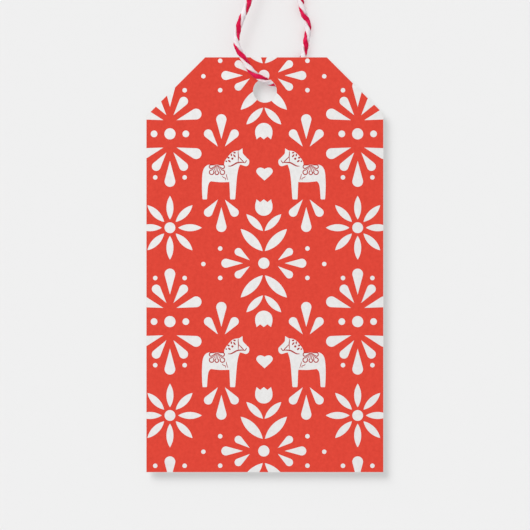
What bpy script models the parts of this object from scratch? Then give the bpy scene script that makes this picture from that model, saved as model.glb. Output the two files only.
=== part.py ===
"""Gift tag: a die-cut printed card that hangs from a loop of two-ply twine.

The card stands upright in the XZ plane with its printed face towards -Y. The
origin is the hang point, just under the knot, where the loop's two strands meet.
Lengths are in metres.
"""

import math

import bpy
import numpy as np
from mathutils import Vector

# Card
CARD_WIDTH = 0.0508
CARD_HEIGHT = 0.0889
CARD_THICKNESS = 0.00036
CORNER_CUT = 0.0126
HOLE_DIAMETER = 0.0050
HOLE_BELOW_TOP = 0.0072

# Twine
TWINE_DIAMETER = 0.00135
HANG_DROP = 0.075
FACE_GAP = 0.0003
RIM_GAP = 0.0002

# Knot
KNOT_WIDTH = 0.0054
KNOT_DEPTH = 0.0046
KNOT_HEIGHT = 0.0052

# Mesh fineness
HOLE_RESOLUTION = 12
SPANS_PER_POINT = 2

# Route of the loop from the knot, down in front of the card, through the hole and up
# behind it to the knot again. Each point is (x, height above the hole's centre, side);
# side -1 is the strand's place in front of the card and +1 its place behind it.
FRONT_STRAND = [
    (-0.00072, 0.07480, -0.45),
    (-0.00098, 0.06600, -0.60),
    (-0.00120, 0.05600, -0.75),
    (-0.00092, 0.04600, -0.87),
    (-0.00068, 0.03700, -0.95),
    (-0.00112, 0.02950, -1.00),
    (-0.00215, 0.02350, -1.00),
    (-0.00360, 0.01860, -1.00),
    (-0.00500, 0.01530, -1.00),
    (-0.00586, 0.01260, -1.00),
    (-0.00608, 0.01020, -1.00),
    (-0.00528, 0.00810, -1.00),
    (-0.00412, 0.00615, -1.00),
    (-0.00298, 0.00430, -1.00),
    (-0.00161, 0.00306, -1.00),
]
BACK_STRAND = [
    (0.00335, 0.00149, 1.00),
    (0.00460, 0.00225, 1.00),
    (0.00610, 0.00340, 1.00),
    (0.00730, 0.00495, 1.00),
    (0.00805, 0.00690, 1.00),
    (0.00855, 0.00900, 1.00),
    (0.00893, 0.01100, 1.00),
    (0.00924, 0.01275, 1.00),
    (0.00915, 0.01450, 1.00),
    (0.00842, 0.01640, 1.00),
    (0.00775, 0.01880, 1.00),
    (0.00700, 0.02320, 1.00),
    (0.00585, 0.03050, 1.00),
    (0.00450, 0.03850, 0.95),
    (0.00325, 0.04700, 0.87),
    (0.00210, 0.05600, 0.75),
    (0.00125, 0.06500, 0.60),
    (0.00072, 0.07480, 0.45),
]

# Loose ends of the twine: (x, y, height above where they leave the knot)
TAIL_LEFT = [
    (-0.00080, -0.00020, 0.00000),
    (-0.00120, -0.00040, 0.00190),
    (-0.00205, -0.00070, 0.00430),
    (-0.00330, -0.00060, 0.00690),
    (-0.00490, -0.00010, 0.00910),
]
TAIL_RIGHT = [
    (0.00085, 0.00020, 0.00000),
    (0.00150, 0.00055, 0.00200),
    (0.00200, 0.00090, 0.00470),
    (0.00310, 0.00080, 0.00740),
    (0.00390, 0.00020, 0.01000),
]

TWINE_RADIUS = TWINE_DIAMETER / 2
HOLE_RADIUS = HOLE_DIAMETER / 2
STAND_OFF = CARD_THICKNESS / 2 + FACE_GAP + TWINE_RADIUS
SEAT_RADIUS = HOLE_RADIUS - TWINE_RADIUS - RIM_GAP


def clear_scene():
    for item in list(bpy.data.objects):
        bpy.data.objects.remove(item, do_unlink=True)


def material(name, colour, roughness):
    mat = bpy.data.materials.new(name)
    mat.use_nodes = True
    shader = mat.node_tree.nodes["Principled BSDF"]
    shader.inputs["Base Color"].default_value = (*colour, 1.0)
    shader.inputs["Roughness"].default_value = roughness
    shader.inputs["Metallic"].default_value = 0.0
    return mat


def new_curve_object(name, curve, parent, mat):
    piece = bpy.data.objects.new(name, curve)
    bpy.data.collections["gift_tag"].objects.link(piece)
    curve.materials.append(mat)
    piece.parent = parent
    return piece


def joint_empty(name, location, parent=None):
    empty = bpy.data.objects.new(name, None)
    empty.empty_display_size = 0.005
    empty.location = location
    bpy.data.collections["gift_tag"].objects.link(empty)
    empty.parent = parent
    return empty


def card_corners():
    """Card outline round from the lower left, measured from the hole's centre."""
    half = CARD_WIDTH / 2
    top = HOLE_BELOW_TOP
    bottom = HOLE_BELOW_TOP - CARD_HEIGHT
    return [
        (-half, bottom),
        (half, bottom),
        (half, top - CORNER_CUT),
        (half - CORNER_CUT, top),
        (-half + CORNER_CUT, top),
        (-half, top - CORNER_CUT),
    ]


def add_outline(curve, corners):
    spline = curve.splines.new("POLY")
    spline.points.add(len(corners) - 1)
    for point, (x, z) in zip(spline.points, corners):
        point.co = (x, z, 0.0, 1.0)
    spline.use_cyclic_u = True


def add_circle(curve, radius):
    """Round hole about the curve's origin, from four Bezier points."""
    handle = radius * 4 / 3 * math.tan(math.pi / 8)
    spline = curve.splines.new("BEZIER")
    spline.bezier_points.add(3)
    for quarter, point in enumerate(spline.bezier_points):
        angle = quarter * math.pi / 2
        out = Vector((math.cos(angle), math.sin(angle), 0.0))
        along = Vector((-out.y, out.x, 0.0))
        point.co = out * radius
        point.handle_left = point.co - along * handle
        point.handle_right = point.co + along * handle
    spline.use_cyclic_u = True


def make_card(parent, mat):
    curve = bpy.data.curves.new("tag_card", "CURVE")
    curve.dimensions = "2D"
    curve.fill_mode = "BOTH"
    curve.extrude = CARD_THICKNESS / 2
    curve.resolution_u = HOLE_RESOLUTION
    add_outline(curve, card_corners())
    add_circle(curve, HOLE_RADIUS)
    card = new_curve_object("tag_card", curve, parent, mat)
    card.rotation_euler = (math.pi / 2, 0.0, 0.0)
    return card


def hole_crossing():
    """The stretch that leans on the hole's upper rim as it changes sides."""
    seat = SEAT_RADIUS
    return [
        (-0.54 * seat, 1.48 * seat, -0.97),
        (-0.07 * seat, 1.05 * seat, -0.62),
        (0.33 * seat, 0.77 * seat, 0.0),
        (0.79 * seat, 0.69 * seat, 0.58),
        (1.33 * seat, 0.73 * seat, 0.92),
    ]


def loop_route():
    hole_height = -HANG_DROP
    stations = FRONT_STRAND + hole_crossing() + BACK_STRAND
    return [(x, side * STAND_OFF, hole_height + up) for x, up, side in stations]


def smooth_through(route, spans):
    """Natural cubic spline through the route's points, with spans samples per stretch."""
    points = np.array(route)
    steps = np.linalg.norm(np.diff(points, axis=0), axis=1)
    count = len(points)
    system = np.eye(count)
    right = np.zeros((count, 3))
    for i in range(1, count - 1):
        before, after = steps[i - 1], steps[i]
        system[i, i - 1:i + 2] = (before, 2 * (before + after), after)
        right[i] = 6 * ((points[i + 1] - points[i]) / after - (points[i] - points[i - 1]) / before)
    bend = np.linalg.solve(system, right)
    samples = []
    for i in range(count - 1):
        width = steps[i]
        for u in np.linspace(0.0, 1.0, spans, endpoint=False):
            a = 1.0 - u
            samples.append(
                a * points[i] + u * points[i + 1]
                + ((a ** 3 - a) * bend[i] + (u ** 3 - u) * bend[i + 1]) * width ** 2 / 6
            )
    samples.append(points[-1])
    return [Vector(sample) for sample in samples]


def make_tube(name, route, parent, mat):
    curve = bpy.data.curves.new(name, "CURVE")
    curve.dimensions = "3D"
    curve.bevel_depth = TWINE_RADIUS
    curve.bevel_resolution = 2
    curve.use_fill_caps = True
    samples = smooth_through(route, SPANS_PER_POINT)
    spline = curve.splines.new("POLY")
    spline.points.add(len(samples) - 1)
    for point, sample in zip(spline.points, samples):
        point.co = (*sample, 1.0)
    return new_curve_object(name, curve, parent, mat)


def knot_centre():
    """Height of the knot's middle: its underside sits just over the strands' ends."""
    strand_end = FRONT_STRAND[0][1] - HANG_DROP
    return strand_end + FACE_GAP + KNOT_HEIGHT / 2


def make_knot(parent, mat):
    bpy.ops.mesh.primitive_uv_sphere_add(segments=24, ring_count=14, radius=0.5)
    knot = bpy.context.object
    knot.name = "twine_knot"
    knot.data.name = "twine_knot"
    knot.scale = (KNOT_WIDTH, KNOT_DEPTH, KNOT_HEIGHT)
    bpy.ops.object.transform_apply(location=False, rotation=False, scale=True)
    knot.location = (0.0, 0.0, knot_centre())
    knot.parent = parent
    knot.data.shade_smooth()
    knot.data.materials.append(mat)
    for owner in list(knot.users_collection):
        owner.objects.unlink(knot)
    bpy.data.collections["gift_tag"].objects.link(knot)
    return knot


def make_tail(name, points, parent, mat):
    knot_top = knot_centre() + KNOT_HEIGHT / 2
    route = [(x, y, knot_top + FACE_GAP + up) for x, y, up in points]
    return make_tube(name, route, parent, mat)


def main():
    clear_scene()
    group = bpy.data.collections.new("gift_tag")
    bpy.context.scene.collection.children.link(group)
    printed_card = material("printed_card", (0.72, 0.061, 0.040), 0.55)
    twine = material("twine", (0.70, 0.030, 0.080), 0.85)
    hang_point = joint_empty("hang_point", (0.0, 0.0, 0.0))
    swing_axis = joint_empty("swing_axis", (0.0, 0.0, -HANG_DROP), hang_point)
    make_card(swing_axis, printed_card)
    make_tube("twine_loop", loop_route(), hang_point, twine)
    make_knot(hang_point, twine)
    make_tail("twine_tail_left", TAIL_LEFT, hang_point, twine)
    make_tail("twine_tail_right", TAIL_RIGHT, hang_point, twine)


main()
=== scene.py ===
"""Looks of the gift tag: a printed card with a loop of red and white baker's twine, knotted above it.

Metres, +Z up. The card hangs in the XZ plane with its printed face towards -Y, below the knot's foot at the
origin.
"""
import math
import random

import bmesh
import bpy
import numpy as np
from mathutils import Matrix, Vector
from mathutils.geometry import delaunay_2d_cdt


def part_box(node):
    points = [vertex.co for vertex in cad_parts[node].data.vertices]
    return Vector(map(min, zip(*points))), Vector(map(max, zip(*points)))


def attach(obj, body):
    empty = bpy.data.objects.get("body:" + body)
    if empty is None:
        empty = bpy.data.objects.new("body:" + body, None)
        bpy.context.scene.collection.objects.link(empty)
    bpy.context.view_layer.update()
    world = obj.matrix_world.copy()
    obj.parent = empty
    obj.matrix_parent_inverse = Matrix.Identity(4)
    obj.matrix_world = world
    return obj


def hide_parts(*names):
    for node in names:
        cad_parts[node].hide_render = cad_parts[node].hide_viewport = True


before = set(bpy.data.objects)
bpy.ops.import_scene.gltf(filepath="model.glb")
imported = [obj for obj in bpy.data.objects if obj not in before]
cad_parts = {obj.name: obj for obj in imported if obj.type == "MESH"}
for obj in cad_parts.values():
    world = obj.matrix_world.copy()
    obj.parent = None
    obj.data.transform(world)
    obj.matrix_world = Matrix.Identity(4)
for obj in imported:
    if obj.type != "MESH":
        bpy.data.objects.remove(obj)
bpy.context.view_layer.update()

MM = 0.001

# ---- Sizes that the CAD model has ------------------------------------------------------------------------
CARD_LOW, CARD_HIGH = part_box("tag_card")
CARD_WIDTH = CARD_HIGH.x - CARD_LOW.x
CARD_HEIGHT = CARD_HIGH.z - CARD_LOW.z
CARD_THICKNESS = CARD_HIGH.y - CARD_LOW.y
CARD_CENTRE = (CARD_LOW + CARD_HIGH) / 2
CARD_FRONT = CARD_LOW.y
CORNER_CUT = 0.0126
HOLE_DIAMETER = 0.0050
HOLE_BELOW_TOP = 0.0072
HOLE_Z = CARD_HIGH.z - HOLE_BELOW_TOP
TWINE_DIAMETER = 0.00135
KNOT_LOW, KNOT_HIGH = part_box("twine_knot")
TOUCH_GAP = 0.00010
# The CAD card has CORNER_CUT on both sides; on the photo the right one is a little smaller.
RIGHT_CORNER_CUT = 0.0121

# ---- Route of the twine: (x, height above the hole's centre, side), as in the CAD model ------------------
STAND_OFF = CARD_THICKNESS / 2 + TOUCH_GAP + TWINE_DIAMETER / 2
SEAT_RADIUS = (HOLE_DIAMETER - TWINE_DIAMETER) / 2 - TOUCH_GAP
FRONT_STRAND = [
    (-0.00072, 0.07480, -0.45), (-0.00098, 0.06600, -0.60), (-0.00120, 0.05600, -0.75),
    (-0.00092, 0.04600, -0.87), (-0.00068, 0.03700, -0.95), (-0.00112, 0.02950, -1.00),
    (-0.00215, 0.02350, -1.00), (-0.00360, 0.01860, -1.00), (-0.00500, 0.01530, -1.00),
    (-0.00586, 0.01260, -1.00), (-0.00608, 0.01020, -1.00), (-0.00528, 0.00810, -1.00),
    (-0.00412, 0.00615, -1.00), (-0.00298, 0.00430, -1.00), (-0.00161, 0.00306, -1.00),
]
# At the hole, x and height are in seat radii.
HOLE_CROSSING = [
    (-0.54, 1.48, -0.97), (-0.07, 1.05, -0.62), (0.33, 0.77, 0.00), (0.79, 0.69, 0.58), (1.33, 0.73, 0.92),
]
# How far the soft twine is pressed right and up into the hole's rim, at each point of the crossing.
RIM_PRESS = [
    (0.00006, 0.00008), (0.00010, 0.00042), (0.00022, 0.00054), (0.00030, 0.00054), (0.00016, 0.00036),
]
BACK_STRAND = [
    (0.00335, 0.00149, 1.00), (0.00460, 0.00225, 1.00), (0.00610, 0.00340, 1.00),
    (0.00730, 0.00495, 1.00), (0.00805, 0.00690, 1.00), (0.00855, 0.00900, 1.00),
    (0.00893, 0.01100, 1.00), (0.00924, 0.01275, 1.00), (0.00915, 0.01450, 1.00),
    (0.00842, 0.01640, 1.00), (0.00775, 0.01880, 1.00), (0.00700, 0.02320, 1.00),
    (0.00585, 0.03050, 1.00), (0.00450, 0.03850, 0.95), (0.00325, 0.04700, 0.87),
    (0.00210, 0.05600, 0.75), (0.00125, 0.06500, 0.60), (0.00072, 0.07480, 0.45),
]
# (x, y, height above the knot's top)
TAIL_LEFT = [
    (-0.00080, -0.00020, 0.00030), (-0.00120, -0.00040, 0.00220), (-0.00205, -0.00070, 0.00460),
    (-0.00330, -0.00060, 0.00720), (-0.00490, -0.00010, 0.00940),
]
TAIL_RIGHT = [
    (0.00085, 0.00020, 0.00030), (0.00150, 0.00055, 0.00230), (0.00200, 0.00090, 0.00500),
    (0.00310, 0.00080, 0.00770), (0.00390, 0.00020, 0.01030),
]

# ---- Twine make-up ---------------------------------------------------------------------------------------
TWIST_PITCH = 0.0057
TWIST_SIGN = -1.0
TWIST_SMOOTHING_RINGS = 9
# Heights above the hole's centre at which the red ply faces the viewer, on the front and the back strand.
RED_FACES_FRONT = [0.01920, 0.01350, 0.00760, 0.00300]
RED_FACES_BACK = [0.01012, 0.01569]
RING_STEP = 0.00020
RING_SEGMENTS = 30
PLY_REACH = 0.000325
PLY_OFFSET = 0.000330
PLY_HALF_WIDTH = 0.00056
PLY_SQUARENESS = 2.05
END_TAPER = 0.35
END_TAPER_RINGS = 3
YARN_RIDGES = 6
RIDGE_HEIGHT = 0.07
RIDGE_PITCH_PER_RADIAN = 0.00042
KNOT_POINTS = 84
KNOT_STRAND_LENGTH = 0.0415
KNOT_FORWARD = -0.0008
LOOSE_KNOT_WIDTH = 0.00115
LOOSE_KNOT_DEPTH = 0.00042
# In twine diameters.
PAIR_OFFSET = 0.55
NEIGHBOUR_REACH = 1.6
# Tying: rounds, and the shares of them after which the ends are held and the strands have their final length.
KNOT_ROUNDS = 520
ENDS_HELD_AFTER = 0.4
TIGHT_AFTER = 0.75
LOOSE_END_PULL = 0.02
EVENING = 0.45
PUSH_APART = 1.2
CENTRING = 0.1
# Shares of each strand: where its core starts and ends, its middle, and how far from there centring reaches.
CORE_START, CORE_END = 0.3, 0.8
KNOT_MIDDLE, CENTRING_REACH = 0.55, 0.45

# ---- Loose fibres ----------------------------------------------------------------------------------------
HAIR_RADIUS = 0.000014
HAIR_SHORTEST = 0.0003
HAIR_LONGER_BY = 0.0011
HAIR_ROOT_IN_DIAMETERS = 0.42
HAIR_STEPS = 6
HAIR_CURL = 0.35
HAIR_TIP_TAPER = 0.6
WHITE_HAIRS = 330
RED_HAIRS = 240
WHITE_SEED = 11
RED_SEED = 12
END_BRUSH_HAIRS = 34

# ---- Print, in millimetres about the card's centre -------------------------------------------------------
PRINT_PERIOD = 40.2
PRINT_SHIFT = (-0.225, 0.325)
SUN_PLACE = (20.1, -12.5)
FLOWER_PLACE = (20.1, 7.6)
HORSE_PLACE = (9.09, -20.9)
HEART_PLACE = (0.15, -20.9)
PRINT_EDGE = 0.05
MERGE_DISTANCE = 1e-5
COLLAR_LINE = 0.30
BRIDLE_LINE = 0.20
STRAP_LINE = 0.16
PETAL_LINE = 0.22
PETAL_STEM_START = 0.20
RED, LINE, WHITE, OPEN = "red", "line", "white", "open"

# ---- Card and ink layers, in metres ----------------------------------------------------------------------
CUT_EDGE = 0.00003
HOLE_SIDES = 72
INK_THICKNESS = 0.000010
INK_SINK = 0.000003

# ---- Colours, linear -------------------------------------------------------------------------------------
CARD_TONES = (0.735, 0.727, 0.719), (0.800, 0.794, 0.789)
STAGE_GREY = (0.80, 0.80, 0.80, 1.0)
WHITE_LIGHT = (1.0, 1.0, 1.0, 1.0)
NO_TINT = (1.0, 1.0, 1.0)
# Thin and full coverage.
RED_INK = (0.730, 0.050, 0.026), (0.655, 0.038, 0.018)
LINE_INK = (0.430, 0.022, 0.020), (0.370, 0.016, 0.015)
# Dark, middle and light fibres, and the fuzz around them.
RED_COTTON = (0.36, 0.001, 0.024), (0.66, 0.003, 0.060), (0.92, 0.020, 0.125), (1.00, 0.42, 0.58)
WHITE_COTTON = (0.76, 0.68, 0.71), (0.85, 0.78, 0.81), (0.91, 0.86, 0.88), (0.93, 0.90, 0.91)

# ---- View and stage --------------------------------------------------------------------------------------
VIEW_WIDTH = 0.11348
VIEW_CENTRE = (0.00003, -0.11231)
LENS = 250.0
SENSOR = 36.0
WALL_Y = 0.0021
WALL_TOP = 1.2
WALL_MIDDLE = 0.3
COVE_TOP = -0.180
COVE_RADIUS = 0.060
COVE_STEPS = 16
FLOOR_FRONT = -2.5
STAGE_HALF_WIDTH = 2.0

# ---- Lights: way towards the lamp, strength, and angular size in degrees ---------------------------------
KEY_WAY = (-0.80, -1.30, 1.00)
KEY_LIGHT = KEY_WAY, 1.12, 40.0
LOW_KEY_LIGHT = KEY_WAY, 0.38, 24.0
FRONT_LIGHT = (-0.45, -1.30, 0.55), 0.40, 60.0
BACK_LIGHT = (0.60, 1.30, 0.70), 0.60, 60.0
LIGHT_ALL_ROUND = 0.63
ROOM_AS_SEEN = 0.86


# ==== Materials ===========================================================================================
def new_material(name, roughness):
    mat = bpy.data.materials.new(name)
    mat.use_nodes = True
    nodes, links = mat.node_tree.nodes, mat.node_tree.links
    shader = nodes["Principled BSDF"]
    shader.inputs["Roughness"].default_value = roughness
    return mat, nodes, links, shader


def add_noise(nodes, links, scale, detail, roughness, stretch=(1.0, 1.0, 1.0)):
    """Object-space noise; stretch scales the coordinates before it."""
    coords = nodes.new("ShaderNodeTexCoord")
    mapping = nodes.new("ShaderNodeMapping")
    mapping.inputs["Scale"].default_value = stretch
    noise = nodes.new("ShaderNodeTexNoise")
    noise.inputs["Scale"].default_value = scale
    noise.inputs["Detail"].default_value = detail
    noise.inputs["Roughness"].default_value = roughness
    links.new(coords.outputs["Object"], mapping.inputs["Vector"])
    links.new(mapping.outputs["Vector"], noise.inputs["Vector"])
    return noise.outputs["Fac"]


def add_ramp(nodes, links, source, stops):
    """Colour that runs through the stops, (value, colour), as source rises."""
    ramp = nodes.new("ShaderNodeValToRGB")
    elements = ramp.color_ramp.elements
    while len(elements) < len(stops):
        elements.new(0.5)
    for element, (place, colour) in zip(elements, stops):
        element.position = place
        element.color = (*colour, 1.0)
    links.new(source, ramp.inputs["Fac"])
    return ramp.outputs["Color"]


def add_mix(nodes, links, blend, amount, first, second):
    """Mix of two colours: inputs 6 and 7 and output 2 are the node's colour sockets."""
    mix = nodes.new("ShaderNodeMix")
    mix.data_type = "RGBA"
    mix.blend_type = blend
    mix.inputs["Factor"].default_value = amount
    links.new(first, mix.inputs[6])
    links.new(second, mix.inputs[7])
    return mix.outputs[2]


def add_bump(nodes, links, shader, layers):
    """Chain of bumps: (height output, distance in metres, strength)."""
    last = None
    for height, distance, strength in layers:
        bump = nodes.new("ShaderNodeBump")
        bump.inputs["Distance"].default_value = distance
        bump.inputs["Strength"].default_value = strength
        links.new(height, bump.inputs["Height"])
        if last is not None:
            links.new(last, bump.inputs["Normal"])
        last = bump.outputs["Normal"]
    links.new(last, shader.inputs["Normal"])


def card_material():
    """Uncoated white card: soft mottle, and fine fibres a little darker than it."""
    mat, nodes, links, shader = new_material("card_white", 0.82)
    shader.inputs["Specular IOR Level"].default_value = 0.25
    shader.inputs["Sheen Weight"].default_value = 0.05
    mottle = add_noise(nodes, links, 1300.0, 4.0, 0.6)
    fibres = add_noise(nodes, links, 2600.0, 3.0, 0.6, (1.0, 1.0, 0.35))
    tone = add_ramp(nodes, links, mottle, [(0.30, CARD_TONES[0]), (0.70, CARD_TONES[1])])
    streak = add_ramp(nodes, links, fibres, [(0.25, (0.965, 0.962, 0.958)), (0.60, NO_TINT)])
    links.new(add_mix(nodes, links, "MULTIPLY", 1.0, tone, streak), shader.inputs["Base Color"])
    add_bump(nodes, links, shader, [(mottle, 0.00003, 0.35), (fibres, 0.00001, 0.5)])
    return mat


def print_material(name, thin, full):
    """Ink on the card: slightly uneven coverage from thin to full, with the card's fibres showing through."""
    mat, nodes, links, shader = new_material(name, 0.66)
    shader.inputs["Specular IOR Level"].default_value = 0.3
    cloud = add_noise(nodes, links, 160.0, 3.0, 0.55)
    mottle = add_noise(nodes, links, 1500.0, 4.0, 0.65)
    fibres = add_noise(nodes, links, 2600.0, 3.0, 0.6, (1.0, 1.0, 0.35))
    ink = add_ramp(nodes, links, mottle, [(0.30, full), (0.70, thin)])
    drift = add_ramp(nodes, links, cloud, [(0.30, (0.988, 0.982, 0.980)), (0.70, NO_TINT)])
    specks = add_ramp(nodes, links, fibres, [(0.30, (0.965, 0.955, 0.950)), (0.62, NO_TINT)])
    inked = add_mix(nodes, links, "MULTIPLY", 1.0, ink, drift)
    links.new(add_mix(nodes, links, "MULTIPLY", 1.0, inked, specks), shader.inputs["Base Color"])
    add_bump(nodes, links, shader, [(mottle, 0.00003, 0.3), (fibres, 0.00001, 0.45)])
    return mat


def cotton_material(name, dark, middle, light, fuzz):
    """Spun cotton: colour that varies from fibre to fibre, with a soft sheen of loose fuzz."""
    mat, nodes, links, shader = new_material(name, 0.80)
    shader.inputs["Specular IOR Level"].default_value = 0.12
    shader.inputs["Sheen Weight"].default_value = 0.50
    shader.inputs["Sheen Roughness"].default_value = 0.40
    shader.inputs["Sheen Tint"].default_value = (*fuzz, 1.0)
    shader.inputs["Subsurface Weight"].default_value = 0.12
    shader.inputs["Subsurface Radius"].default_value = (0.0005, 0.0004, 0.0004)
    shader.inputs["Subsurface Scale"].default_value = 1.0
    tufts = add_noise(nodes, links, 900.0, 4.0, 0.6)
    fibres = add_noise(nodes, links, 5200.0, 3.0, 0.7)
    tone = add_ramp(nodes, links, tufts, [(0.25, dark), (0.50, middle), (0.78, light)])
    fine = add_ramp(nodes, links, fibres, [(0.30, (0.86, 0.86, 0.86)), (0.62, NO_TINT)])
    links.new(add_mix(nodes, links, "MULTIPLY", 1.0, tone, fine), shader.inputs["Base Color"])
    add_bump(nodes, links, shader, [(tufts, 0.00004, 0.5), (fibres, 0.00002, 0.6)])
    return mat


# ==== Mesh helpers ========================================================================================
def link_object(name, data, mat, smooth=True):
    obj = bpy.data.objects.new(name, data)
    obj.data.materials.append(mat)
    bpy.context.scene.collection.objects.link(obj)
    if smooth:
        data.shade_smooth()
    return obj


def mesh_from(name, vertices, faces):
    mesh = bpy.data.meshes.new(name)
    mesh.from_pydata([tuple(v) for v in vertices], [], faces)
    mesh.validate()
    mesh.update()
    return mesh


# ==== Card ================================================================================================
def card_outline(inset=0.0):
    """Corners of the card about its centre, (x, z), moved in by inset on every side."""
    right = CARD_WIDTH / 2 - inset
    top = CARD_HEIGHT / 2 - inset
    slant = inset * (math.sqrt(2.0) - 2.0)
    left_cut, right_cut = CORNER_CUT + slant, RIGHT_CORNER_CUT + slant
    return [
        (-right, -top), (right, -top), (right, top - right_cut), (right - right_cut, top),
        (-right + left_cut, top), (-right, top - left_cut),
    ]


def add_outline(curve, corners):
    spline = curve.splines.new("POLY")
    spline.points.add(len(corners) - 1)
    for point, (x, z) in zip(spline.points, corners):
        point.co = (x, z, 0.0, 1.0)
    spline.use_cyclic_u = True


def make_card():
    """The punched card, with its cut edges slightly rounded."""
    curve = bpy.data.curves.new("card_stock", "CURVE")
    curve.dimensions = "2D"
    curve.fill_mode = "BOTH"
    curve.extrude = CARD_THICKNESS / 2 - CUT_EDGE
    curve.bevel_depth = CUT_EDGE
    curve.bevel_resolution = 2
    curve.offset = -CUT_EDGE
    hole = circle((0.0, CARD_HEIGHT / 2 - HOLE_BELOW_TOP), HOLE_DIAMETER / 2, HOLE_SIDES)
    add_outline(curve, card_outline())
    add_outline(curve, hole[::-1])
    shape = bpy.data.objects.new("card_curve", curve)
    bpy.context.scene.collection.objects.link(shape)
    bpy.context.view_layer.update()
    mesh = bpy.data.meshes.new_from_object(shape.evaluated_get(bpy.context.evaluated_depsgraph_get()))
    bpy.data.objects.remove(shape)
    form = bmesh.new()
    form.from_mesh(mesh)
    bmesh.ops.remove_doubles(form, verts=form.verts, dist=1e-7)
    for vertex in form.verts:
        x, z, y = vertex.co
        vertex.co = Vector((x, -y, z)) + CARD_CENTRE
    bmesh.ops.recalc_face_normals(form, faces=form.faces)
    form.to_mesh(mesh)
    form.free()
    mesh.name = "card_stock"
    card = link_object("card_stock", mesh, card_material())
    mesh.set_sharp_from_angle(angle=math.radians(30))
    return card


# ==== Print: outlines in millimetres, (x, z) ==============================================================
def circle(centre, radius, steps=36):
    turn = 2 * math.pi / steps
    return [
        (centre[0] + radius * math.cos(i * turn), centre[1] + radius * math.sin(i * turn))
        for i in range(steps)
    ]


def drop(tip, centre, radius, steps=28):
    """A round end about centre, with straight sides that meet at tip."""
    dx, dz = centre[0] - tip[0], centre[1] - tip[1]
    reach = math.hypot(dx, dz)
    heading = math.atan2(dz, dx)
    half = math.pi - math.acos(radius / reach)
    outline = [tip]
    for i in range(steps + 1):
        angle = heading - half + 2 * half * i / steps
        outline.append((centre[0] + radius * math.cos(angle), centre[1] + radius * math.sin(angle)))
    return outline


def leaf(start, end, width, steps=16):
    """Two arcs that meet in points at start and end."""
    length = math.hypot(end[0] - start[0], end[1] - start[1])
    ux, uz = (end[0] - start[0]) / length, (end[1] - start[1]) / length
    rise = width / 2
    radius = (length ** 2 / 4 + rise ** 2) / (2 * rise)
    spread = math.asin(length / 2 / radius)
    outline = []
    for side in (1, -1):
        for i in range(steps):
            angle = side * spread * (2 * i / steps - 1)
            along = length / 2 + radius * math.sin(angle)
            out = side * (radius * math.cos(angle) - radius + rise)
            outline.append((start[0] + ux * along - uz * out, start[1] + uz * along + ux * out))
    return outline


def between(p0, p1, p2, p3, t):
    """Catmull-Rom point between p1 and p2."""
    return 0.5 * (
        2 * p1 + (p2 - p0) * t
        + (2 * p0 - 5 * p1 + 4 * p2 - p3) * t ** 2
        + (3 * p1 - p0 - 3 * p2 + p3) * t ** 3
    )


def smooth_closed(points, steps=5):
    """Closed smooth curve through the points. A point given twice in a row is a corner."""
    count = len(points)
    outline = []
    for i in range(count):
        p0, p1, p2, p3 = (np.array(points[(i + k) % count]) for k in (-1, 0, 1, 2))
        if np.allclose(p1, p2):
            continue
        for step in range(steps):
            spot = between(p0, p1, p2, p3, step / steps)
            outline.append((float(spot[0]), float(spot[1])))
    return outline


def pen_line(points, width, taper=0.35, steps=6):
    """A pen stroke along the points, full width in its middle and taper times that at its ends."""
    given = np.array(points, float)
    padded = np.vstack([2 * given[0] - given[1], given, 2 * given[-1] - given[-2]])
    fine = [
        between(*padded[i - 1:i + 3], step / steps)
        for i in range(1, len(padded) - 2)
        for step in range(steps)
    ]
    fine = np.array(fine + [given[-1]])
    along = np.gradient(fine, axis=0)
    along /= np.linalg.norm(along, axis=1)[:, None]
    across = np.stack([-along[:, 1], along[:, 0]], axis=1)
    swell = np.sin(math.pi * np.linspace(0.0, 1.0, len(fine))) ** 0.7
    half = (width / 2 * (taper + (1 - taper) * swell))[:, None]
    edge = np.vstack([fine + across * half, (fine - across * half)[::-1]])
    return [tuple(p) for p in edge.tolist()]


def flipped(outline, flip_x, flip_z):
    return [(x * flip_x, z * flip_z) for x, z in outline]


def placed(outline, at):
    return [(x + at[0], z + at[1]) for x, z in outline]


def four_ways(outline):
    return [flipped(outline, sx, sz) for sx in (1, -1) for sz in (1, -1)]


def up_and_down(outline):
    return [outline, flipped(outline, 1, -1)]


def left_and_right(outline):
    return [outline, flipped(outline, -1, 1)]


def tulip():
    """Flower head above the star: a round base, and three points away from the star."""
    radius, base, tip, notch = 1.86, 10.16, 13.68, 13.08
    dome = [
        (radius * math.cos(angle), base + radius - radius * math.sin(angle))
        for angle in np.linspace(0.0, math.pi, 25).tolist()
    ]
    right = [(0.78, notch), (1.55, tip), (1.84, 12.6)]
    left = [(-x, z) for x, z in reversed(right)]
    return dome + left + [(0.0, tip)] + right


def star():
    """The large star, with a tulip above and below it."""
    shapes = [circle((0, 0), 1.2)]
    shapes += left_and_right(drop((4.45, 0), (8.13, 0), 0.97))
    shapes += four_ways(drop((3.0, 0.63), (5.44, 2.44), 0.82))
    shapes += four_ways(leaf((0.23, 2.6), (4.95, 7.34), 2.0))
    shapes += four_ways(leaf((0.17, 6.9), (3.73, 10.49), 1.52))
    shapes += four_ways(circle((9.34, 3.15), 0.49, 20))
    shapes += left_and_right(circle((12.94, -0.17), 0.48, 20))
    shapes += up_and_down(tulip())
    return shapes


def sun():
    """Drops all round a disc."""
    shapes = [circle((0, 0), 1.2)]
    shapes += left_and_right(circle((3.4, 0), 0.725, 24))
    shapes += up_and_down(drop((0, 5.77), (0, 10.2), 1.15))
    shapes += four_ways(drop((0.75, 3.98), (2.93, 6.98), 0.95))
    shapes += four_ways(drop((1.41, 2.93), (5.6, 4.24), 1.16))
    shapes += four_ways(circle((3.15, 9.33), 0.49, 20))
    return shapes


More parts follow.
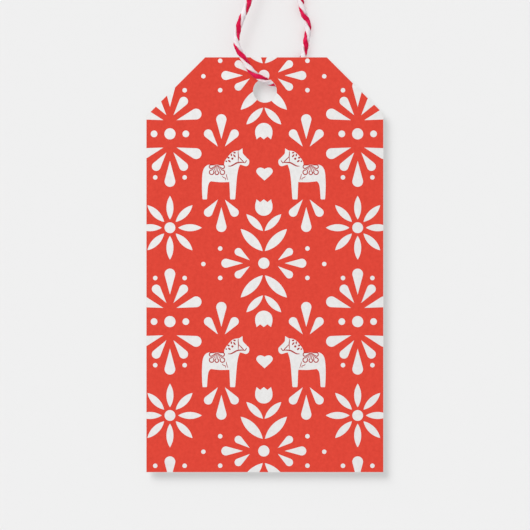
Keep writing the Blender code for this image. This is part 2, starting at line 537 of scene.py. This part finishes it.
def flower():
    """Eight leaves round a disc."""
    shapes = [circle((0, 0), 1.16)]
    for eighth in range(8):
        ux, uz = math.cos(eighth * math.pi / 4), math.sin(eighth * math.pi / 4)
        shapes.append(leaf((1.75 * ux, 1.75 * uz), (6.83 * ux, 6.83 * uz), 1.51))
    return shapes


def heart():
    right = [
        (0.36, 1.06), (0.90, 1.18), (1.42, 1.02), (1.74, 0.58), (1.70, 0.12), (1.30, -0.42), (0.66, -1.02),
    ]
    left = [(-x, z) for x, z in reversed(right)]
    notch, point = (0.0, 0.86), (0.0, -1.60)
    return smooth_closed([notch, notch, *right, point, point, *left], 4)


def horse_drops():
    """Three drops above the horse and three below it."""
    return up_and_down(drop((0, 7.27), (0, 11.51), 1.1)) + four_ways(drop((0.74, 5.66), (2.81, 8.43), 0.925))


def horse_body():
    """The horse faces +x: ear, nose, throat, front leg, belly, hind leg, back and neck in turn."""
    return smooth_closed([
        (4.52, 5.30), (4.52, 5.30), (4.55, 4.75), (4.62, 4.20), (5.03, 3.70), (5.54, 3.20), (5.90, 2.82),
        (5.98, 2.40), (5.90, 1.96), (5.64, 1.60), (5.27, 1.47), (4.86, 1.56), (4.42, 1.71), (3.97, 1.80),
        (3.97, 1.80), (3.63, 0.80), (3.40, -0.40), (3.27, -1.60), (3.16, -3.00), (3.04, -4.60), (2.96, -5.45),
        (2.82, -5.64), (2.82, -5.64), (2.05, -5.64), (2.05, -5.64), (1.88, -5.45), (1.82, -4.32),
        (1.72, -1.92), (1.72, -1.92), (-0.22, -1.96), (-1.83, -1.81),
        (-2.22, -1.77), (-2.55, -2.03), (-2.78, -2.54), (-2.91, -3.30), (-3.04, -5.00), (-3.06, -5.45),
        (-3.20, -5.64), (-3.20, -5.64), (-3.90, -5.64), (-3.90, -5.64), (-4.03, -5.45), (-4.13, -4.00),
        (-4.16, -2.20), (-4.08, -0.50), (-3.97, 0.30), (-3.79, 0.87), (-3.48, 1.35), (-3.08, 1.66),
        (-2.68, 1.79), (-2.68, 1.79), (0.60, 1.79), (0.60, 1.79), (0.64, 2.30), (0.86, 2.75), (1.12, 3.15),
        (1.46, 3.58), (1.88, 4.08), (2.34, 4.46), (2.76, 4.68), (3.25, 4.78), (3.72, 4.82), (4.14, 5.06),
    ])


def horse_pen_work():
    """Dark lines on the horse: the leaves and dot of its mane, its collar, bridle and chest strap."""
    mane = [
        ((2.54, 4.45), (3.10, 4.28), 0.34), ((2.12, 4.20), (2.16, 3.54), 0.32),
        ((2.54, 4.02), (3.06, 3.36), 0.34), ((1.26, 3.36), (1.80, 3.20), 0.38),
        ((1.42, 2.80), (2.00, 2.32), 0.36), ((0.90, 2.66), (1.20, 2.38), 0.32),
    ]
    collar = [
        (1.42, 1.50), (1.98, 1.50), (2.53, 1.74), (3.05, 2.04), (3.49, 2.22), (4.36, 2.30), (4.95, 2.22),
    ]
    bridle = [
        [(3.63, 4.72), (3.60, 4.20), (3.66, 3.60), (3.63, 3.00), (3.60, 2.36)],
        [(3.70, 3.52), (4.12, 3.05), (4.54, 2.62), (4.98, 2.16)],
        [(5.44, 2.76), (5.22, 2.42), (4.98, 2.10)],
    ]
    straps = [
        [(1.02, -0.16), (1.15, -0.74), (1.40, -1.56)],
        [(0.18, -0.62), (0.44, -0.95), (0.92, -1.14), (0.88, -1.56)],
    ]
    lines = [leaf(start, end, width, 6) for start, end, width in mane]
    lines.append(circle((2.36, 3.08), 0.24, 12))
    lines.append(pen_line(collar, COLLAR_LINE))
    lines += [pen_line(line, BRIDLE_LINE) for line in bridle]
    lines += [pen_line(line, STRAP_LINE) for line in straps]
    return lines


def petal_rings():
    """Outlined petals of the saddle, each a ring on a narrower stem: (outer outline, inner outline)."""
    fan = (-0.98, 1.72)
    # Centre, radius of the ring, radius of the stem.
    petals = [
        ((-2.20, 1.36), 0.38, 0.38), ((-2.09, 0.17), 0.49, 0.27), ((-0.97, 0.04), 0.38, 0.26),
        ((0.22, 0.17), 0.49, 0.27), ((0.29, 1.36), 0.38, 0.38),
    ]
    half_line = PETAL_LINE / 2
    rings = []
    for centre, radius, stem in petals:
        inner_tip = tuple((np.array(fan) + (np.array(centre) - fan) * PETAL_STEM_START).tolist())
        ring = circle(centre, radius + half_line, 16), circle(centre, radius - half_line, 16)
        drops = drop(fan, centre, stem + half_line, 16), drop(inner_tip, centre, stem - half_line, 16)
        rings += [ring, drops]
    return rings


def one_repeat():
    """Everything in one repeat of the pattern, as (layer, ink, outline); a higher layer lies on top."""
    white = star() + [placed(s, SUN_PLACE) for s in sun()] + [placed(s, FLOWER_PLACE) for s in flower()]
    white.append(placed(heart(), HEART_PLACE))
    shapes = []
    for side in (1, -1):
        spot = (side * HORSE_PLACE[0], HORSE_PLACE[1])
        white += [placed(s, spot) for s in horse_drops()]
        white.append(placed(flipped(horse_body(), -side, 1), spot))
        shapes += [(2, LINE, placed(flipped(s, -side, 1), spot)) for s in horse_pen_work()]
        for outer, inner in petal_rings():
            shapes.append((2, LINE, placed(flipped(outer, -side, 1), spot)))
            shapes.append((3, WHITE, placed(flipped(inner, -side, 1), spot)))
    return shapes + [(1, WHITE, s) for s in white]


def overlaps_card(outline):
    """Whether the outline's box reaches onto the card."""
    half_width, half_height = CARD_WIDTH / 2 / MM, CARD_HEIGHT / 2 / MM
    xs, zs = [p[0] for p in outline], [p[1] for p in outline]
    across = min(xs) < half_width and max(xs) > -half_width
    return across and min(zs) < half_height and max(zs) > -half_height


def print_shapes():
    """All shapes of the print, about the card's centre in millimetres."""
    edge = [(x / MM, z / MM) for x, z in card_outline(PRINT_EDGE * MM)]
    hole_centre = (0.0, (CARD_HEIGHT / 2 - HOLE_BELOW_TOP) / MM)
    hole = circle(hole_centre, HOLE_DIAMETER / 2 / MM + PRINT_EDGE, HOLE_SIDES)
    shapes = [(0, RED, edge), (9, OPEN, hole)]
    repeat = one_repeat()
    for row in (-2, -1, 0, 1, 2):
        for column in (-1, 0, 1):
            at = (PRINT_SHIFT[0] + column * PRINT_PERIOD, PRINT_SHIFT[1] + row * PRINT_PERIOD)
            moved = [(layer, ink, placed(outline, at)) for layer, ink, outline in repeat]
            shapes += [shape for shape in moved if overlaps_card(shape[2])]
    return shapes


def turned_left(outline):
    """The outline, counter-clockwise."""
    area = sum(a[0] * b[1] - b[0] * a[1] for a, b in zip(outline, outline[1:] + outline[:1]))
    return outline if area > 0 else outline[::-1]


def inked_triangles(shapes):
    """Vertices, and the triangles of each ink: the top shape over a triangle says its ink."""
    points, loops = [], []
    for outline in (turned_left(shape[2]) for shape in shapes):
        loops.append(list(range(len(points), len(points) + len(outline))))
        points += [Vector(p) for p in outline]
    vertices, _, faces, _, _, sources = delaunay_2d_cdt(points, [], loops, 0, MERGE_DISTANCE, True)
    inked = {RED: [], LINE: []}
    # Outline 0 is the card's own: a triangle outside it has no ink.
    for face, over in zip(faces, sources):
        if 0 in over:
            ink = max((shapes[k][:2] for k in over), key=lambda s: s[0])[1]
            if ink in inked:
                inked[ink].append(face)
    return vertices, inked


def make_ink(name, mat, vertices, inked):
    """One ink as a thin closed layer on the card's front, its back just inside the card."""
    form = bmesh.new()
    used = sorted({k for face in inked for k in face})
    back, front = {}, {}
    y_back = CARD_FRONT + INK_SINK
    for k in used:
        x, z = vertices[k].x * MM + CARD_CENTRE.x, vertices[k].y * MM + CARD_CENTRE.z
        back[k] = form.verts.new((x, y_back, z))
        front[k] = form.verts.new((x, y_back - INK_THICKNESS, z))
    sides = {}
    for face in inked:
        form.faces.new([front[k] for k in face])
        form.faces.new([back[k] for k in reversed(face)])
        for a, b in zip(face, face[1:] + face[:1]):
            sides[(a, b)] = True
    # A side that no other triangle shares, the other way round, is on the ink's outline.
    for a, b in sides:
        if (b, a) not in sides:
            form.faces.new([front[b], front[a], back[a], back[b]])
    mesh = bpy.data.meshes.new(name)
    bmesh.ops.recalc_face_normals(form, faces=form.faces)
    form.to_mesh(mesh)
    form.free()
    return link_object(name, mesh, mat, smooth=False)


# ==== Twine ===============================================================================================
def smooth_through(points, spacing):
    """Natural cubic spline through the points, read off at even steps of about spacing."""
    knots = np.array(points, float)
    place = np.concatenate([[0.0], np.cumsum(np.linalg.norm(np.diff(knots, axis=0), axis=1))])
    gap = np.diff(place)
    count = len(knots)
    system = np.eye(count)
    right = np.zeros((count, 3))
    for i in range(1, count - 1):
        system[i, i - 1:i + 2] = gap[i - 1], 2 * (gap[i - 1] + gap[i]), gap[i]
        right[i] = 6 * ((knots[i + 1] - knots[i]) / gap[i] - (knots[i] - knots[i - 1]) / gap[i - 1])
    bend = np.linalg.solve(system, right)
    where = np.linspace(0.0, place[-1], 8 * int(place[-1] / spacing))
    span = np.clip(np.searchsorted(place, where, side="right") - 1, 0, count - 2)
    left = ((place[span + 1] - where) / gap[span])[:, None]
    after = 1 - left
    width = gap[span][:, None] ** 2 / 6
    dense = left * knots[span] + after * knots[span + 1]
    dense += width * ((left ** 3 - left) * bend[span] + (after ** 3 - after) * bend[span + 1])
    travelled = np.concatenate([[0.0], np.cumsum(np.linalg.norm(np.diff(dense, axis=0), axis=1))])
    even = np.linspace(0.0, travelled[-1], int(round(travelled[-1] / spacing)) + 1)
    return np.stack([np.interp(even, travelled, dense[:, k]) for k in range(3)], axis=1)


def strand_points(strand):
    """World places of a strand's (x, height, side)."""
    return [(x, side * STAND_OFF, HOLE_Z + height) for x, height, side in strand]


def crossing_points():
    """The crossing, with the soft twine pressed right and up into the rim of the hole by RIM_PRESS."""
    points = []
    for (x, height, side), (right, up) in zip(HOLE_CROSSING, RIM_PRESS):
        points.append((x * SEAT_RADIUS + right, side * STAND_OFF, HOLE_Z + height * SEAT_RADIUS + up))
    return points


def tail_points(tail):
    """World places of a loose end's points."""
    return [(x, y, KNOT_HIGH.z + up) for x, y, up in tail]


def loose_knot(centre):
    """Two strands side by side along one wide overhand knot, in metres; its ends run down and up."""
    t = np.linspace(-2.25, 2.25, KNOT_POINTS)
    wide, deep = LOOSE_KNOT_WIDTH, LOOSE_KNOT_DEPTH
    line = np.stack([(t ** 3 - 3 * t) * wide, (t ** 4 - 4 * t ** 2) * wide, (t ** 5 - 10 * t) * deep], axis=1)
    line += centre
    along = np.gradient(line, axis=0)
    along /= np.linalg.norm(along, axis=1)[:, None]
    beside = np.cross(along[0], (0.0, 1.0, 0.0))
    pair = [[], []]
    for point, heading in zip(line, along):
        beside = beside - heading * (beside @ heading)
        beside /= np.linalg.norm(beside)
        pair[0].append(point - beside * TWINE_DIAMETER * PAIR_OFFSET)
        pair[1].append(point + beside * TWINE_DIAMETER * PAIR_OFFSET)
    return np.array(pair)


def keep_spacing(points, place, rest):
    """Move the points of each strand so that neighbours are rest apart; the ends stay."""
    last = KNOT_POINTS - 1
    for odd in (0, 1):
        a = np.flatnonzero((place % 2 == odd) & (place < last))
        gap = points[a + 1] - points[a]
        length = np.linalg.norm(gap, axis=1)
        move = ((length - rest) / length * 0.5)[:, None] * gap
        points[a] += move * (place[a] > 0)[:, None]
        points[a + 1] -= move * (place[a + 1] < last)[:, None]


def keep_apart(points, strand, place, rest):
    """Push apart points that are closer than the twine is thick."""
    delta = points[:, None] - points[None]
    distance = np.linalg.norm(delta, axis=2) + 1e-12
    along = np.abs(place[:, None] - place[None]) * rest
    neighbours = (strand[:, None] == strand[None]) & (along < NEIGHBOUR_REACH * TWINE_DIAMETER)
    hit = (distance < TWINE_DIAMETER) & ~neighbours
    push = np.where(hit, (TWINE_DIAMETER - distance) / distance * 0.5, 0.0)
    move = (push[:, :, None] * delta).sum(1) / np.maximum(1, hit.sum(1))[:, None] * PUSH_APART
    move[(place == 0) | (place == KNOT_POINTS - 1)] = 0.0
    points += move


def tie_knot(lower_ends, upper_ends, centre):
    """Pull the loose doubled knot tight about centre, between its fixed ends."""
    pair = loose_knot(centre)
    points = pair.reshape(-1, 3)
    index = np.arange(len(points))
    strand, place = index // KNOT_POINTS, index % KNOT_POINTS
    start = np.linalg.norm(np.diff(pair[0], axis=0), axis=1).mean()
    tight = KNOT_STRAND_LENGTH / (KNOT_POINTS - 1)
    inner = index[(place > 0) & (place < KNOT_POINTS - 1)]
    core = (place > CORE_START * KNOT_POINTS) & (place < CORE_END * KNOT_POINTS)
    off_middle = np.abs(place - KNOT_MIDDLE * KNOT_POINTS) / (CENTRING_REACH * KNOT_POINTS)
    weight = np.clip(1 - off_middle, 0, 1)[:, None]
    for step in range(KNOT_ROUNDS):
        done = step / KNOT_ROUNDS
        rest = start + (tight - start) * min(1.0, done / TIGHT_AFTER)
        pull = 1.0 if done > ENDS_HELD_AFTER else LOOSE_END_PULL
        for k in range(2):
            first, last = k * KNOT_POINTS, (k + 1) * KNOT_POINTS - 1
            points[first] += (lower_ends[k] - points[first]) * pull
            points[last] += (upper_ends[k] - points[last]) * pull
        keep_spacing(points, place, rest)
        points[inner] += EVENING * ((points[inner - 1] + points[inner + 1]) / 2 - points[inner])
        for _ in range(3):
            keep_apart(points, strand, place, rest)
        points += (centre - points[core].mean(0)) * weight * CENTRING
    return points.reshape(2, KNOT_POINTS, 3)


def twine_route():
    """Centreline from the left tail's end, through the knot and the hole, back up and out at the right."""
    front, back = strand_points(FRONT_STRAND), strand_points(BACK_STRAND)
    left, right = tail_points(TAIL_LEFT), tail_points(TAIL_RIGHT)
    centre = np.array((0.0, KNOT_FORWARD, (KNOT_LOW.z + KNOT_HIGH.z) / 2))
    lower = np.array((front[1], back[-2]))
    upper = np.array((left[2], right[2]))
    knot = tie_knot(lower, upper, centre)
    pick = slice(2, KNOT_POINTS - 2, 3)
    down = knot[0][pick][::-1].tolist()
    up = knot[1][pick].tolist()
    route = left[::-1][:3] + down + front[1:] + crossing_points() + back[:-1] + up + right[2:]
    return smooth_through(route, RING_STEP)


def carried_frames(line):
    """Heading and two crosswise directions at each point, carried along the line without twist."""
    heading = np.gradient(line, axis=0)
    heading /= np.linalg.norm(heading, axis=1)[:, None]
    side = np.cross(heading[0], (0.0, 1.0, 0.0))
    sides = []
    for way in heading:
        side = side - way * (side @ way)
        side /= np.linalg.norm(side)
        sides.append(side)
    sides = np.array(sides)
    return heading, sides, np.cross(heading, sides)


def twist_angles(line, sides, thirds):
    """Angle of the red ply at each point, so that it faces -Y at the chosen heights."""
    turn = 2 * math.pi
    rate = TWIST_SIGN * turn / TWIST_PITCH
    place = np.arange(len(line)) * RING_STEP
    # The lowest ring near the middle is in the hole, where the front strand becomes the back one.
    lowest = int(np.argmin(np.where(np.abs(line[:, 0]) < HOLE_DIAMETER * 0.4, line[:, 2], 1.0)))
    marks = []
    for heights, part in ((RED_FACES_FRONT, slice(0, lowest)), (RED_FACES_BACK, slice(lowest, None))):
        for height in heights:
            off = np.abs(line[part, 2] - (HOLE_Z + height))
            marks.append(int(np.argmin(off)) + (part.start or 0))
    wanted = [math.atan2(-thirds[k, 1], -sides[k, 1]) for k in marks]
    angles = [wanted[0]]
    for (before, after), target in zip(zip(marks, marks[1:]), wanted[1:]):
        expected = angles[-1] + rate * (place[after] - place[before])
        angles.append(target + turn * round((expected - target) / turn))
    known = [place[0], *(place[k] for k in marks), place[-1]]
    first, last = angles[0] + rate * (place[0] - known[1]), angles[-1] + rate * (place[-1] - known[-2])
    angle = np.interp(place, known, [first, *angles, last])
    window = TWIST_SMOOTHING_RINGS
    padded = np.pad(angle, window, mode="edge")
    padded[:window] = angle[0] + rate * RING_STEP * np.arange(-window, 0)
    padded[-window:] = angle[-1] + rate * RING_STEP * np.arange(1, window + 1)
    return np.convolve(padded, np.ones(2 * window + 1) / (2 * window + 1), mode="valid")


def ply_section(place, end_taper):
    """Section of one ply at a place along it: outwards from the twine's axis, and across."""
    angle = np.linspace(0.0, 2 * math.pi, RING_SEGMENTS, endpoint=False)
    power = 2 / PLY_SQUARENESS
    out = np.sign(np.cos(angle)) * np.abs(np.cos(angle)) ** power
    across = np.sign(np.sin(angle)) * np.abs(np.sin(angle)) ** power
    ridge = 1 + RIDGE_HEIGHT * np.cos(YARN_RIDGES * angle + place / RIDGE_PITCH_PER_RADIAN)
    return PLY_OFFSET + PLY_REACH * out * ridge * end_taper, PLY_HALF_WIDTH * across * ridge * end_taper


def turned_pair(angle, side, third):
    """The two crosswise directions, turned by angle: outwards, and a quarter turn on."""
    outward = math.cos(angle) * side + math.sin(angle) * third
    crosswise = -math.sin(angle) * side + math.cos(angle) * third
    return outward, crosswise


def make_ply(name, mat, line, frames, angles, half_turn):
    """One ply, swept along the twine's centreline; half_turn puts it opposite the other."""
    _, sides, thirds = frames
    vertices, faces = [], []
    count = len(line)
    for i in range(count):
        from_end = min(i, count - 1 - i)
        taper = min(1.0, END_TAPER + (1 - END_TAPER) * from_end / END_TAPER_RINGS)
        out, across = ply_section(i * RING_STEP, taper)
        outward, crosswise = turned_pair(angles[i] + half_turn, sides[i], thirds[i])
        vertices.append(line[i] + out[:, None] * outward + across[:, None] * crosswise)
    vertices = np.concatenate(vertices)
    for i in range(count - 1):
        for k in range(RING_SEGMENTS):
            after = (k + 1) % RING_SEGMENTS
            first, second = i * RING_SEGMENTS, (i + 1) * RING_SEGMENTS
            faces.append((first + k, first + after, second + after, second + k))
    faces.append(tuple(range(RING_SEGMENTS - 1, -1, -1)))
    faces.append(tuple(range((count - 1) * RING_SEGMENTS, count * RING_SEGMENTS)))
    return link_object(name, mesh_from(name, vertices, faces), mat)


# ==== Hairs ===============================================================================================
def add_hair(curve, points, radius):
    spline = curve.splines.new("POLY")
    spline.points.add(len(points) - 1)
    for k, point in enumerate(points):
        spline.points[k].co = (*point, 1.0)
        spline.points[k].radius = radius * (1 - HAIR_TIP_TAPER * k / (len(points) - 1))


def curved_hair(start, way, sag, length, rng):
    """A hair that leaves start along way and curls towards sag."""
    curl = rng.uniform(-1.0, 1.0)
    points = []
    spot = np.array(start)
    heading = way / np.linalg.norm(way)
    for _ in range(HAIR_STEPS + 1):
        points.append(spot.copy())
        heading = heading + sag * curl * HAIR_CURL
        heading /= np.linalg.norm(heading)
        spot = spot + heading * length / HAIR_STEPS
    return points


def make_hairs(name, mat, line, frames, angles, half_turn, count, seed):
    """Loose fibres along one ply, and a brush of them at each cut end."""
    heading, sides, thirds = frames
    rng = random.Random(seed)
    curve = bpy.data.curves.new(name, "CURVE")
    curve.dimensions = "3D"
    curve.bevel_depth = HAIR_RADIUS
    curve.bevel_resolution = 0
    last = len(line) - 1
    for _ in range(count):
        i = rng.randrange(4, last - 4)
        angle = angles[i] + half_turn + rng.uniform(-1.1, 1.1)
        outward, crosswise = turned_pair(angle, sides[i], thirds[i])
        start = line[i] + outward * TWINE_DIAMETER * HAIR_ROOT_IN_DIAMETERS
        way = outward * rng.uniform(0.15, 0.9) + heading[i] * rng.choice((-1, 1))
        way = way + crosswise * rng.uniform(-0.6, 0.6)
        length = HAIR_SHORTEST + HAIR_LONGER_BY * rng.random() ** 2
        add_hair(curve, curved_hair(start, way, crosswise, length, rng), rng.uniform(0.6, 1.3))
    for i, way in ((2, -1.0), (last - 2, 1.0)):
        for _ in range(END_BRUSH_HAIRS):
            angle = angles[i] + half_turn + rng.uniform(-1.2, 1.2)
            outward, _ = turned_pair(angle, sides[i], thirds[i])
            start = line[i] + outward * TWINE_DIAMETER * rng.uniform(0.05, 0.4)
            spread = heading[i] * way + outward * rng.uniform(0.0, 0.55)
            length = rng.uniform(0.0005, 0.0016)
            add_hair(curve, curved_hair(start, spread, outward, length, rng), rng.uniform(0.8, 1.6))
    return link_object(name, curve, mat, smooth=False)


# ==== Stage ===============================================================================================
def make_camera():
    data = bpy.data.cameras.new("camera")
    data.lens = LENS
    data.sensor_width = SENSOR
    data.clip_start = 0.01
    data.clip_end = 20.0
    camera = bpy.data.objects.new("camera", data)
    distance = VIEW_WIDTH * LENS / SENSOR
    camera.location = (VIEW_CENTRE[0], CARD_FRONT - distance, VIEW_CENTRE[1])
    camera.rotation_euler = (math.pi / 2, 0.0, 0.0)
    bpy.context.scene.collection.objects.link(camera)
    bpy.context.scene.camera = camera


def stage_material():
    """Matt pale paint on one side; the other side lets the view through, so the tag's back can be seen."""
    mat, nodes, links, shader = new_material("stage_pale", 0.9)
    shader.inputs["Base Color"].default_value = STAGE_GREY
    shader.inputs["Specular IOR Level"].default_value = 0.0
    side = nodes.new("ShaderNodeNewGeometry")
    clear = nodes.new("ShaderNodeBsdfTransparent")
    choose = nodes.new("ShaderNodeMixShader")
    links.new(side.outputs["Backfacing"], choose.inputs["Fac"])
    links.new(shader.outputs["BSDF"], choose.inputs[1])
    links.new(clear.outputs["BSDF"], choose.inputs[2])
    links.new(choose.outputs["Shader"], nodes["Material Output"].inputs["Surface"])
    return mat


def make_stage():
    """One sheet: a wall close behind the tag, a rounded cove, and the floor in front of it."""
    profile = [(WALL_Y, WALL_TOP), (WALL_Y, WALL_MIDDLE)]
    for step in range(COVE_STEPS + 1):
        angle = math.pi / 2 * step / COVE_STEPS
        y = WALL_Y - COVE_RADIUS + COVE_RADIUS * math.cos(angle)
        profile.append((y, COVE_TOP - COVE_RADIUS * math.sin(angle)))
    profile.append((FLOOR_FRONT, COVE_TOP - COVE_RADIUS))
    vertices = [(x, y, z) for y, z in profile for x in (-STAGE_HALF_WIDTH, STAGE_HALF_WIDTH)]
    faces = [(2 * i, 2 * i + 1, 2 * i + 3, 2 * i + 2) for i in range(len(profile) - 1)]
    mesh = mesh_from("stage_floor", vertices, faces)
    mesh.flip_normals()
    stage = link_object("stage_floor", mesh, stage_material())
    stage.visible_shadow = False
    stage.visible_diffuse = False
    stage.visible_glossy = False


def add_soft_light(name, towards, strength, spread):
    """Even light from one side, whose angular size, spread in degrees, blurs its shadows."""
    data = bpy.data.lights.new(name, "SUN")
    data.energy = strength
    data.angle = math.radians(spread)
    lamp = bpy.data.objects.new(name, data)
    lamp.location = Vector(towards) * 2
    lamp.rotation_euler = (-Vector(towards)).to_track_quat("-Z", "Y").to_euler()
    bpy.context.scene.collection.objects.link(lamp)
    return lamp


def let_through(lamp, pieces):
    """The lamp's light passes these pieces, so they throw no shadow in it."""
    passed = bpy.data.collections.new(lamp.name + "_passes")
    for piece in pieces:
        passed.objects.link(piece)
    for member in passed.collection_objects:
        member.light_linking.link_state = "EXCLUDE"
    lamp.light_linking.blocker_collection = passed


def make_world():
    """Soft white light from all round; where the stage ends, the room looks as pale as the stage."""
    world = bpy.data.worlds.new("pale_studio")
    world.use_nodes = True
    nodes, links = world.node_tree.nodes, world.node_tree.links
    light = nodes["Background"]
    light.inputs["Color"].default_value = WHITE_LIGHT
    light.inputs["Strength"].default_value = LIGHT_ALL_ROUND
    room = nodes.new("ShaderNodeBackground")
    room.inputs["Color"].default_value = WHITE_LIGHT
    room.inputs["Strength"].default_value = ROOM_AS_SEEN
    path = nodes.new("ShaderNodeLightPath")
    mix = nodes.new("ShaderNodeMixShader")
    links.new(path.outputs["Is Camera Ray"], mix.inputs[0])
    links.new(light.outputs[0], mix.inputs[1])
    links.new(room.outputs[0], mix.inputs[2])
    links.new(mix.outputs[0], nodes["World Output"].inputs["Surface"])
    bpy.context.scene.world = world


def make_lights(card_pieces, twine_pieces):
    """A front fill without shadows, a key that passes the twine, a weaker key that doesn't, a back light."""
    let_through(add_soft_light("front_light", *FRONT_LIGHT), card_pieces + twine_pieces)
    let_through(add_soft_light("key_light", *KEY_LIGHT), twine_pieces)
    add_soft_light("low_key_light", *LOW_KEY_LIGHT)
    add_soft_light("back_light", *BACK_LIGHT)


# ==== Assembly ============================================================================================
def add_card():
    card = make_card()
    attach(card, "tag")
    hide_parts("tag_card")
    return card


def add_print():
    """The inks on the card's front: the red ground, and the darker lines on the horses."""
    vertices, inked = inked_triangles(print_shapes())
    red_ink = print_material("print_red", *RED_INK)
    line_ink = print_material("print_line", *LINE_INK)
    layers = []
    for name, mat, ink in (("red_print", red_ink, RED), ("line_print", line_ink, LINE)):
        layer = make_ink(name, mat, vertices, inked[ink])
        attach(layer, "tag")
        layers.append(layer)
    return layers


def add_twine():
    """Both plies of the knotted loop, and their loose fibres."""
    line = twine_route()
    frames = carried_frames(line)
    angles = twist_angles(line, frames[1], frames[2])
    red = cotton_material("cotton_red", *RED_COTTON)
    white = cotton_material("cotton_white", *WHITE_COTTON)
    white_ply = make_ply("twine_white_ply", white, line, frames, angles, math.pi)
    red_ply = make_ply("twine_red_ply", red, line, frames, angles, 0.0)
    white_hairs = make_hairs(
        "twine_white_hairs", white, line, frames, angles, math.pi, WHITE_HAIRS, WHITE_SEED
    )
    red_hairs = make_hairs("twine_red_hairs", red, line, frames, angles, 0.0, RED_HAIRS, RED_SEED)
    twine = [white_ply, red_ply, white_hairs, red_hairs]
    for piece in twine:
        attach(piece, "twine")
    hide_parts("twine_loop", "twine_knot", "twine_tail_left", "twine_tail_right")
    return twine


def build():
    bpy.context.scene.view_settings.view_transform = "Standard"
    make_camera()
    make_stage()
    make_world()
    card = add_card()
    layers = add_print()
    twine = add_twine()
    make_lights([card] + layers, twine)


build()
